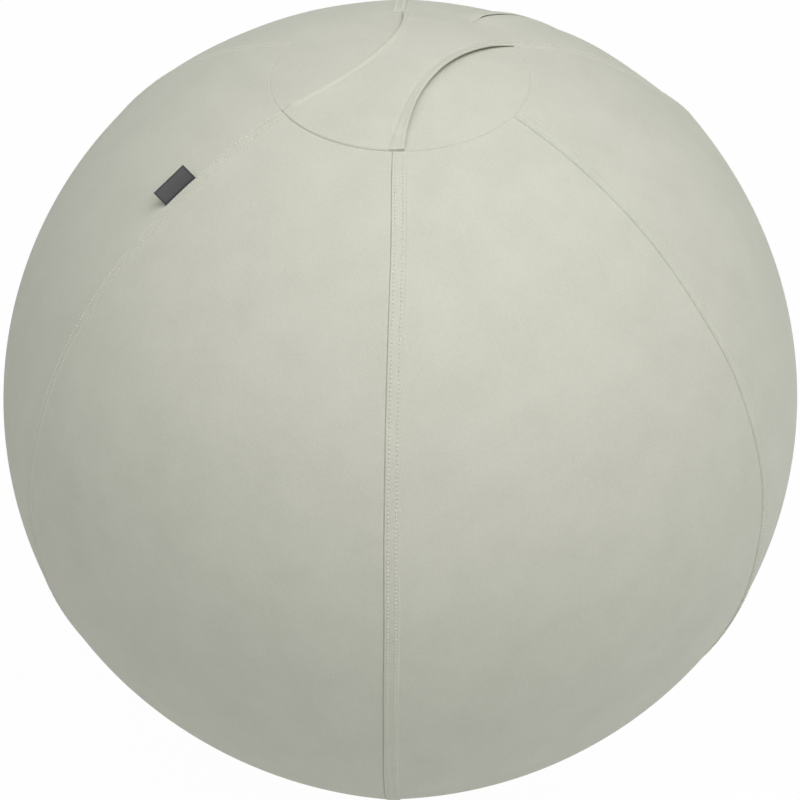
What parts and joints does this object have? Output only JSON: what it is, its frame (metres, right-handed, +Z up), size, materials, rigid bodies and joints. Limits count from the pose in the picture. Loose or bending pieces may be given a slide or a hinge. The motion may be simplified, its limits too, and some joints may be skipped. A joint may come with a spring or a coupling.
{
  "type": "sitting ball",
  "caption": "Inflated sitting ball in a sewn knit cover of curved gores, with a waisted carrying strap over the crown, a label tab and a zip behind.",
  "frame": {"origin": "middle of the flat patch that the ball rests on, at floor level", "axes": "+Z up through the crown, -Y towards the viewer of the picture, +X to that viewer's right"},
  "size_m": [0.6499, 0.6524, 0.6488],
  "materials": {
    "cover_knit": "matt fine knit, pale sage grey",
    "thread": "polyester thread in the cover's colour",
    "label_weave": "woven ribbon, dark grey",
    "ball_vinyl": "matt soft vinyl, grey",
    "valve_plastic": "soft moulded plastic, off-white",
    "zip_tape": "woven tape in the cover's colour",
    "zip_nylon": "moulded nylon in the cover's colour",
    "zip_metal": "lacquered die-cast metal in the cover's colour"
  },
  "bodies": {
    "ball_and_cover": {"gore_front_right": "cover_knit", "gore_right": "cover_knit", "gore_back_right_a": "cover_knit", "gore_back_right_b": "cover_knit", "gore_back_left": "cover_knit", "gore_left": "cover_knit", "gore_front_left": "cover_knit", "crown_disc": "cover_knit", "base_disc": "cover_knit", "zip_welt_a": "cover_knit", "zip_welt_b": "cover_knit", "seam_stitching": "thread", "inner_ball": "ball_vinyl", "valve_seat": "valve_plastic", "valve_plug": "valve_plastic", "zip_tape_a": "zip_tape", "zip_tape_b": "zip_tape", "zip_teeth_a": "zip_nylon", "zip_teeth_b": "zip_nylon", "zip_retainer": "zip_metal", "zip_end_stops": "zip_metal"},
    "strap": {"carry_handle": "cover_knit"},
    "label": {"label_tab": "label_weave"},
    "slider": {"zip_slider": "zip_metal"},
    "pull": {"zip_pull": "zip_metal"}
  },
  "joints": [
    {"name": "strap_lift", "type": "slide", "parent": "ball_and_cover", "child": "strap", "axis": [0, 0, 1], "range_m": [0, 0.025]},
    {"name": "label_flip", "type": "hinge", "parent": "ball_and_cover", "child": "label", "pos_m": [-0.15894, -0.08854, 0.5916], "axis": [0.7216, 0.4082, 0.5592], "range_deg": [-65, 35]},
    {"name": "zip_run", "type": "hinge", "parent": "ball_and_cover", "child": "slider", "pos_m": [0, 0, 0.32187], "axis": [0.8241, -0.5664, 0], "range_deg": [0, 70], "deforming": ["zip_teeth_a", "zip_teeth_b"]},
    {"name": "pull_flip", "type": "hinge", "parent": "slider", "child": "pull", "pos_m": [0.18615, 0.27086, 0.31065], "axis": [0.8241, -0.5664, 0], "range_deg": [0, 170]}
  ]
}
